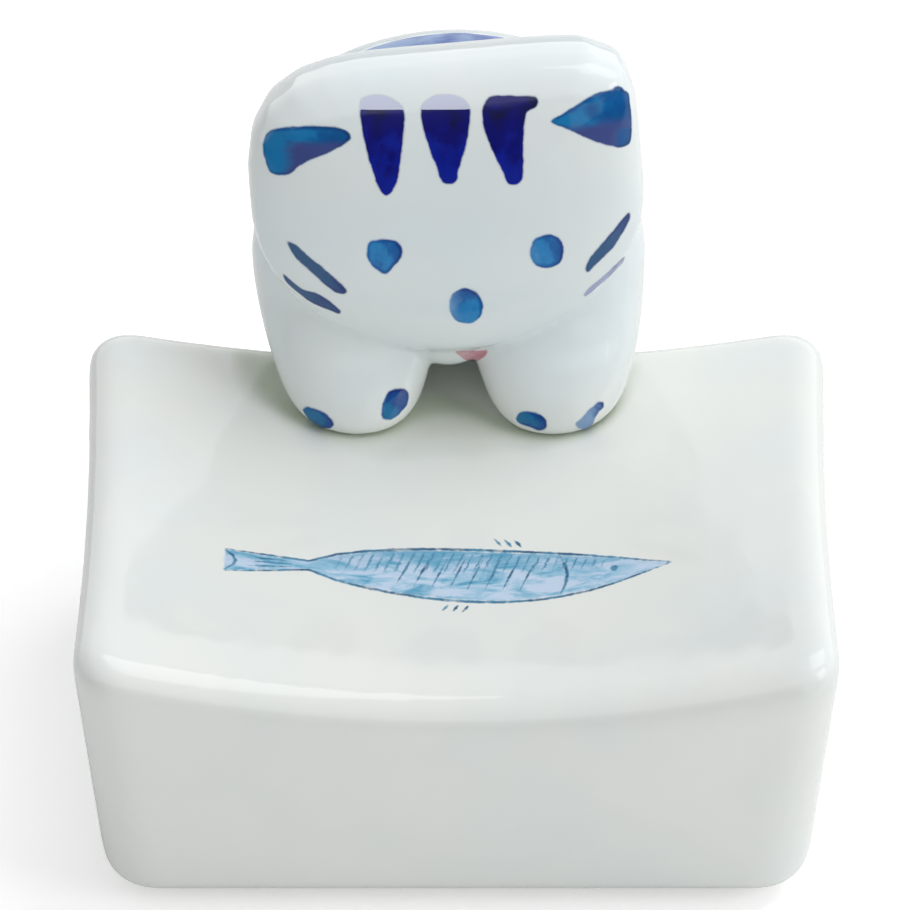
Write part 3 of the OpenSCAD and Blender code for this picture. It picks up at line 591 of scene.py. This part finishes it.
class Drawn:
    """Painted shapes given by their outlines in the picture, on the skin that shows there."""

    def __init__(self, skin_tree, *outlines):
        self.skin_tree = skin_tree
        self.lines = [rounded(o) for o in outlines]
        loops = [np.array([seen_at(skin_tree, *p) for p in line]) for line in self.lines]
        self.start = np.concatenate(loops)
        self.end = np.concatenate([np.roll(loop, -1, 0) for loop in loops])
        self.low, self.high = self.start.min(0), self.start.max(0)

    def inside(self, places):
        """Which outline each place in the picture lies in, or -1."""
        found = np.full(len(places), -1)
        x, y = places[:, 0, None], places[:, 1, None]
        for i, line in enumerate(self.lines):
            (x0, y0), (x1, y1) = line.T, np.roll(line, -1, 0).T
            crossed = (y0 > y) != (y1 > y)
            at = x0 + (y - y0) / np.where(y1 == y0, 1, y1 - y0) * (x1 - x0)
            found[(crossed & (x < at)).sum(1) % 2 == 1] = i
        return found

    def depth(self, co, no=None):
        """Signed distance to the rim at points of the skin, above zero in the paint."""
        inside = self.inside(picture_places(co)) >= 0
        for i in np.flatnonzero(inside):
            inside[i] = any(self.shows(Vector(co[i] + shift)) for shift in SHIFTS)
        least = distances(co, self.start, self.end)
        return np.where(inside, least, -least)

    def shows(self, point):
        """Whether the camera sees this point of the skin."""
        eye = camera.location / MM
        hit = self.skin_tree.ray_cast(eye, (point - eye).normalized())[0]
        return hit is not None and (hit - point).length < SAME_PLACE

    def close(self, co, reach):
        """Which points of the skin lie near enough to this paint to carry its layer."""
        return self.depth(co) > -reach

    def stroke_places(self, co):
        """Where each point lies along its outline's longer side, from 0 at its top or its
        right end to 1, how far across it from its left or its top, and which it is."""
        places = picture_places(co)
        middles = np.array([line.mean(0) for line in self.lines])
        part = self.inside(places)
        nearest = np.linalg.norm(places[:, None] - middles, axis=2).argmin(1)
        part = np.where(part < 0, nearest, part)
        along, across = np.zeros(len(co)), np.zeros(len(co))
        for i, line in enumerate(self.lines):
            low, high = line.min(0), line.max(0)
            long = int(high[1] - low[1] > high[0] - low[0])
            own = part == i
            along[own] = (places[own, long] - low[long]) / (high[long] - low[long])
            along[own] = along[own] if long else 1 - along[own]
            across[own] = (places[own, 1 - long] - low[1 - long]) / (high[1 - long] - low[1 - long])
        return along, across, part


# The porcelain, of which nothing reaches below the table

plate_skin = glazed_skin(["plate"], voxel=0.34, swell=0.0, passes=12)
cat_skin = glazed_skin(CAT_NODES, voxel=0.2, swell=0.05, passes=24)
for mesh in (plate_skin, cat_skin):
    co = points_of(mesh)
    co[:, 2] = np.maximum(co[:, 2], 0)
    mesh.vertices.foreach_set("co", co.astype(np.float32).ravel())
    mesh.update()


def tree_of(mesh):
    return BVHTree.FromPolygons(points_of(mesh).tolist(), quads_of(mesh).tolist())


cat_tree, plate_tree = tree_of(cat_skin), tree_of(plate_skin)
DIRECTIONS = np.random.default_rng(4).normal(size=(40, 3))
DIRECTIONS /= np.linalg.norm(DIRECTIONS, axis=1, keepdims=True)
# How far a look from the skin goes, and how far over the skin it starts
LOOK, LOOK_START = 9.0, 0.05


def closed_in(mesh, low, high):
    """The share of the directions over each vertex that other porcelain shuts off, for
    vertices between two corners, and 0 elsewhere."""
    co, no = points_of(mesh), normals_of(mesh)
    shut = np.zeros(len(co))
    for i in np.flatnonzero(np.all((co > low) & (co < high), 1)):
        over = DIRECTIONS @ no[i]
        ways = np.where(over[:, None] < 0, -DIRECTIONS, DIRECTIONS)
        start = Vector(co[i] + LOOK_START * no[i])
        hits = [any(tree.ray_cast(start, Vector(w), LOOK)[0] is not None
                    for tree in (cat_tree, plate_tree)) for w in ways]
        shut[i] = np.average(hits, weights=np.abs(over))
    return shut


def rise(value, zero, one):
    """0 at one value and 1 at another, straight between them and level beyond."""
    return np.clip((value - zero) / (one - zero), 0, 1)


# Painted shade, with the green of pooled glaze, in the room round the forelegs, more on the plate
# than on the cat, where many but not all directions are shut off
BEFORE_LEGS, BEHIND_LEGS = (1.5, 2.5, 1), (1.5, 1, 1)
POOL_SHADE_ON_PLATE, POOL_SHADE_ON_CAT = 0.9, 0.1
leg_boxes = np.array([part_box(leg) for leg in ("foreleg_left", "foreleg_right")]) / MM
near_low = leg_boxes[:, 0].min(0) - BEFORE_LEGS
near_high = leg_boxes[:, 1].max(0) + BEHIND_LEGS
for mesh, most in ((plate_skin, POOL_SHADE_ON_PLATE), (cat_skin, POOL_SHADE_ON_CAT)):
    shut = closed_in(mesh, near_low, near_high)
    pool_and_shade = averaged(shut[:, None], edges_of(mesh), len(shut), passes=5)[:, 0]
    set_attribute(mesh, "pool_and_shade", most * rise(pool_and_shade, 0.3, 0.7) * rise(pool_and_shade, 1.05, 0.8))

# The marks. Each brush takes its dark, middle, light and pale colours; the pale one shows where the
# paint is thin, and as painted highlight and painted reflection.

NAVY, ROYAL, BRIGHT = colour(0, 6, 40), colour(0, 2, 108), colour(0, 26, 146)
SLATE, TEAL, SKY = colour(62, 76, 136), colour(0, 84, 148), colour(34, 130, 192)
# Lavender is the pale of the stripes: a painted reflection of overhead light on the blue
LAVENDER = colour(202, 206, 228)

stripes_blue = brushed("stripes_blue", NAVY, ROYAL, BRIGHT, LAVENDER, rim=0.0, end=0.62)
ear_blue = brushed("ear_blue", colour(0, 62, 118), TEAL, colour(16, 118, 176), SLATE, rim=0.3,
                   streak=1.6)
dab_blue = brushed("dab_blue", colour(0, 56, 132), colour(0, 92, 164), SKY, colour(108, 156, 204),
                   rim=0.3, wobble=0.2)
toe_blue = brushed("toe_blue", colour(10, 44, 122), colour(0, 74, 144), colour(4, 108, 158),
                   colour(128, 158, 196), rim=0.2, wobble=0.2)
whisker_blue = brushed("whisker_blue", colour(34, 52, 98), colour(44, 66, 126),
                       colour(48, 88, 132), colour(160, 166, 200), rim=0.2, end=0.2)
back_blue = brushed("back_blue", colour(40, 64, 140), colour(72, 100, 166),
                    colour(130, 156, 200), LAVENDER, rim=0.1)
mouth_pink = brushed("mouth_pink", colour(172, 106, 118), colour(200, 138, 150),
                     colour(210, 170, 176), colour(212, 190, 190), rim=0.0, wobble=0.3)


def reflection_capped(stroke, along, across):
    """The left and the middle stripe carry a painted reflection at the top: pale lavender caps for
    overhead light glancing off the glaze.
    """
    cap = np.where(stroke == 0, 0.14, 0.16)
    return np.where((along < cap) & (stroke < 2), 1.0, 0.0)


def wedge_left(stroke, along, across):
    """The left ear is greyer inside, teal along its top and its outer end."""
    return rise(across, 0.2, 0.5) * rise(along, 0.9, 0.6)


def wedge_right(stroke, along, across):
    """The right ear is teal above and greyer below, with a blue corner."""
    corner = rise(along, 0.25, 0.1) * rise(across, 0.55, 0.75)
    return rise(across - 0.14 * along, 0.42, 0.67) * (1 - corner)


def second_faint(stroke, along, across):
    """The lower of the right whiskers is faint."""
    return np.where(stroke == 1, 0.5 + 0.4 * along, 0.0)


def outer_faint(stroke, along, across):
    """The outer of the right toe marks is faint, most of all at its foot."""
    return np.where(stroke == 1, np.clip(0.25 + 0.8 * along, 0, 1), 0.0)


def lit_left(stroke, along, across):
    """The nose is paler on its left."""
    return 0.7 * rise(across, 0.55, 0.05)


def lit_right_eye(stroke, along, across):
    """The right eye is paler below."""
    return 0.45 * rise(along, 0.5, 1)


# Outlines of the marks, in pixels across and down the picture
STRIPES = (
    [(360.5, 103), (366, 97), (381, 95.5), (393, 100), (403, 108), (404, 124), (403, 140),
     (401, 156), (398, 176), (394, 188), (386.5, 195.5), (380, 190), (375, 178), (369, 160),
     (364.5, 141), (361, 123)],
    [(421, 110), (425, 102), (434, 96.5), (445, 95), (458, 96.5), (466, 102), (470, 110),
     (470, 120), (468, 134), (464.5, 150), (461, 161), (458, 172), (456.5, 180), (450, 184),
     (443, 182), (439, 175), (436.5, 166), (431, 153), (425.5, 136), (421.5, 121)],
    [(484, 104), (489.5, 97.5), (497, 95.7), (508, 96), (519, 96), (529, 96), (536, 97),
     (538, 101), (536.5, 106), (531, 109.5), (526, 113.5), (524.3, 122), (523.7, 134),
     (523.3, 156), (523, 174), (520.5, 182), (514.5, 185), (508, 183), (504.5, 175), (501, 168),
     (493, 152), (486.5, 136), (483, 123), (482, 112)])
EAR_LEFT = [(264, 139), (268.5, 132), (279, 128), (295, 126.5), (313, 126), (328, 126.5),
            (341, 128.5), (349, 133), (351, 138), (347, 142.5), (337, 148), (324, 154.5),
            (310.5, 160), (299, 166), (293, 171), (286, 174.5), (276, 174.5), (269.5, 171),
            (265.5, 161), (263.5, 150)]
EAR_RIGHT = [(551, 121.5), (562, 114), (577, 105), (590, 96.5), (601, 92), (610, 90), (615, 86.5),
             (620, 86.5), (624, 90), (628.3, 93.5), (629.5, 102), (631, 115), (631.5, 128),
             (631, 139), (627.5, 145), (619, 147.5), (608, 145), (593, 141), (577.5, 133.5),
             (562, 127)]
EYE_LEFT = [(367.5, 248), (370, 241.5), (384, 239), (395, 240.5), (401, 246), (402.5, 254),
            (398, 262), (392, 268), (388, 273), (383, 274), (378, 270), (371, 264), (367.5, 256)]
EYE_RIGHT = [(530.5, 248), (534.5, 239), (546.5, 234.7), (558, 237.5), (563.3, 246.5),
             (562, 258), (555.5, 265.5), (543.5, 267.6), (534.7, 264.3), (530.3, 257)]
NOSE = [(449.5, 305.5), (452, 295), (459, 289.5), (466, 288), (475, 291), (481, 298), (483, 306),
        (480.5, 316), (474, 322), (467, 323.5), (458, 321.5), (452, 314.5)]
MOUTH = [(456, 351.5), (462, 350.4), (472, 350.2), (482, 350.2), (488, 351), (484, 356.5),
         (477, 361.5), (473, 363), (467, 360.5), (460.5, 356)]
WHISKERS_LEFT = (
    [(287.5, 241.5), (296.5, 245), (304, 252), (312.5, 259.5), (321, 266), (329.5, 273),
     (338, 281), (344, 286.5), (346.5, 291.5), (343, 293.5), (335, 291.5), (328, 286.5),
     (319, 278.5), (310.5, 271), (300.5, 262), (293.5, 254.5), (290, 248.5)],
    [(283.5, 274), (288, 277.5), (295, 283), (302, 288.5), (311, 291.5), (319.5, 294.5),
     (326.5, 298.5), (334, 304.5), (339.5, 309), (341, 311.5), (339, 313.5), (332, 311),
     (323.5, 307.5), (315, 304), (306.5, 299), (299, 293), (292, 287), (286, 281)])
WHISKERS_RIGHT = (
    [(628.5, 212.5), (629.7, 217.5), (627.5, 223), (623.5, 231), (620, 237), (615, 244.5),
     (610, 250.5), (603.5, 256.5), (597, 263), (592, 268), (588.7, 271.5), (586, 270.5),
     (586.5, 265), (590, 257.5), (595, 251), (601.5, 244), (608, 236.5), (613, 230.5),
     (618, 224.5), (623, 218.5)],
    [(584, 294), (588, 289), (593.5, 284), (600, 278.5), (606.5, 273), (611.5, 268), (617, 263),
     (621.5, 258.5), (624.5, 256.5), (622.5, 261.5), (618.5, 266.5), (613.5, 272), (608, 277.5),
     (601.5, 283), (595, 288.5), (588.5, 294), (585, 296)])
TOES_LEFT = (
    [(303.3, 409), (306.7, 406.5), (313.3, 408), (320, 410.8), (326.7, 415), (332.5, 420.8),
     (334.2, 425), (331, 428), (323.3, 427.7), (315, 425), (308.3, 418.3), (304.2, 412.5)],
    [(389, 391.7), (395, 389), (403.3, 389), (408, 392.5), (408.5, 398.5), (406.7, 405),
     (401.7, 411), (395, 417.5), (390, 419.8), (383.5, 418.5), (381, 414.5), (382.5, 406.5),
     (385, 398.5)])
TOES_RIGHT = (
    [(516.3, 418), (520.5, 412.5), (530, 411.3), (538.8, 414), (544.5, 418), (547, 423),
     (546, 428), (540, 430.3), (531.3, 427.7), (523.8, 425), (518.8, 422.3)],
    [(576.3, 422), (581.3, 418.8), (586.3, 413), (591.3, 408), (597.5, 402.5), (603, 402),
     (603, 407), (598.8, 411.5), (595, 417.5), (592.5, 423.8), (587.5, 428.5), (580.6, 428.8),
     (576.3, 425.5)])

for node, outlines, material, slot, thin in (
        ("forehead_stripes", STRIPES, stripes_blue, "cobalt", reflection_capped),
        ("ear_left", (EAR_LEFT,), ear_blue, "cobalt", wedge_left),
        ("ear_right", (EAR_RIGHT,), ear_blue, "cobalt", wedge_right),
        ("eye_left", (EYE_LEFT,), dab_blue, "light_blue", None),
        ("eye_right", (EYE_RIGHT,), dab_blue, "light_blue", lit_right_eye),
        ("nose", (NOSE,), dab_blue, "light_blue", lit_left),
        ("whiskers_left", WHISKERS_LEFT, whisker_blue, "cobalt", None),
        ("whiskers_right", WHISKERS_RIGHT, whisker_blue, "cobalt", second_faint),
        ("mouth", (MOUTH,), mouth_pink, "pink", None),
        ("toe_marks_left", TOES_LEFT, toe_blue, "light_blue", None),
        ("toe_marks_right", TOES_RIGHT, toe_blue, "light_blue", outer_faint)):
    painted(node, Drawn(cat_tree, *outlines), cat_skin, material, thin)
for node in ("back_stripes", "tail_mark"):
    painted(node, Mark(node), cat_skin, back_blue)

fish_low, fish_high = (np.array(corner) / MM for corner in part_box("fish_wash"))
fish = fish_paint("fish_paint", fish_low, fish_high)
fish_marks = {"wash": Mark("fish_wash"), "ink": Mark("fish_lines")}
for node, own, slot, margin, lift in (("fish_wash", "wash", "pale_wash", 0.2, 0.02),
                                      ("fish_lines", "ink", "fish_blue", 0.12, 0.035)):
    mesh, top, normals, _ = paint_layer(plate_skin, fish_marks[own], 5, margin, lift)
    for name, mark in fish_marks.items():
        depth = mark.depth(top, normals[:len(top)])
        set_attribute(mesh, name, np.concatenate([depth, depth]))
    finished(node + "_paint", mesh, fish, [node])
    mesh.normals_split_custom_set_from_vertices(normals.tolist())

white = glaze("white_glaze")
finished("plate_glaze", plate_skin, white, ["plate"])
finished("cat_glaze", cat_skin, white, CAT_NODES)

foot = nodes["foot_rim"]
foot.data.materials.clear()
foot.data.materials.append(bare_clay("bare_foot"))


# The studio

FLOOR_M = 3.0
# How the floor glows for the camera near the object and far away, and from where to where
# it turns, and where it turns dim in reflections
GLOW_NEAR, GLOW_FAR = 0.35, 0.62
GLOW_FROM, GLOW_TO = 150, 500
DIM_FROM, DIM_TO = -50, -130
# The even light's strength. What reflections show is told by how far a direction leans
# back and up: a screen and a room, each from where to where, and from dim to bright
EVEN = 0.5
LEAN_BACK = 0.7
SCREEN = (-0.2, -0.13, 0.0, 1.3)
ROOM = (-1.0, 0.5, 0.08, 0.5)
WHITE, FLOOR_WHITE, FLOOR_DIM = (1, 1, 1, 1), (0.96, 0.96, 0.96, 1), (0.2, 0.2, 0.2, 1)


def floor_material():
    """Pale, lit up for the camera so that it ends in white, and dim in reflections far in
    front of the object."""
    n = new_material("floor")
    n.settled({"Base Color": FLOOR_WHITE, "Roughness": 0.9, "Specular IOR Level": 0.0})
    place = n.place()
    away = n.add("ShaderNodeVectorMath", {0: place}, operation="LENGTH").outputs["Value"]
    glow = n.add("ShaderNodeEmission", {"Strength": n.ranged(away, GLOW_FROM, GLOW_TO,
                                                           GLOW_NEAR, GLOW_FAR)})
    both = n.add("ShaderNodeAddShader", {0: n.shader.outputs[0], 1: glow.outputs[0]})
    path = n.add("ShaderNodeLightPath")
    dim = n.add("ShaderNodeBsdfDiffuse", {"Color": FLOOR_DIM})
    far = n.math("MULTIPLY", path.outputs["Is Glossy Ray"],
                 n.ranged(n.separated(place)["Y"], DIM_FROM, DIM_TO))
    lit = n.add("ShaderNodeMixShader", {0: far, 1: n.shader.outputs[0], 2: dim.outputs[0]})
    chosen = n.add("ShaderNodeMixShader", {0: path.outputs["Is Camera Ray"],
                                           1: lit.outputs[0], 2: both.outputs[0]})
    n.put(n.tree.nodes["Material Output"].inputs["Surface"], chosen.outputs[0])
    return n.owner


floor_mesh = bpy.data.meshes.new("floor")
floor_mesh.from_pydata([(x * FLOOR_M, y * FLOOR_M, 0)
                        for x, y in ((-1, -1), (1, -1), (1, 1), (-1, 1))], [], [(0, 1, 2, 3)])
floor_mesh.materials.append(floor_material())
floor = in_scene("floor", floor_mesh)


def studio():
    """An even light on the object and white for the camera. Reflections show a bright
    screen overhead, with a crisp front edge, and a dim room in front of it."""
    n = Nodes(bpy.data.worlds.new("studio"))
    even = n.tree.nodes["Background"]
    even.inputs["Color"].default_value = WHITE
    even.inputs["Strength"].default_value = EVEN
    way = n.separated(n.add("ShaderNodeTexCoord").outputs["Generated"])
    lean = n.math("MULTIPLY_ADD", way["Y"], LEAN_BACK, way["Z"])
    shade = n.math("ADD", n.ranged(lean, *SCREEN), n.ranged(lean, *ROOM))
    mirrored = n.add("ShaderNodeBackground", {"Color": shade, "Strength": 1.0})
    seen = n.add("ShaderNodeBackground", {"Color": WHITE, "Strength": 1.0})
    path = n.add("ShaderNodeLightPath")
    lit = n.add("ShaderNodeMixShader", {0: path.outputs["Is Glossy Ray"],
                                        1: even.outputs[0], 2: mirrored.outputs[0]})
    chosen = n.add("ShaderNodeMixShader", {0: path.outputs["Is Camera Ray"],
                                           1: lit.outputs[0], 2: seen.outputs[0]})
    n.put(n.tree.nodes["World Output"].inputs["Surface"], chosen.outputs[0])
    return n.owner


bpy.context.scene.world = studio()


def softbox(name, place_m, aim_m, size_m, watts):
    lamp = bpy.data.lights.new(name, "AREA")
    lamp.shape, lamp.energy = "RECTANGLE", watts
    lamp.size, lamp.size_y = size_m
    obj = in_scene(name, lamp)
    obj.location = place_m
    obj.rotation_euler = (Vector(aim_m) - Vector(place_m)).to_track_quat("-Z", "Y").to_euler()


softbox("overhead", (0.17, 0.1, 0.4), (0, 0, 0.01), (0.34, 0.3), watts=0.84)
softbox("front", (0.25, -0.5, 0.1), (0, 0, 0.02), (0.25, 0.2), watts=0.12)
softbox("right", (0.4, -0.2, 0.26), (0, 0, 0.015), (0.2, 0.25), watts=0.5)

bpy.context.scene.view_settings.view_transform = "Standard"
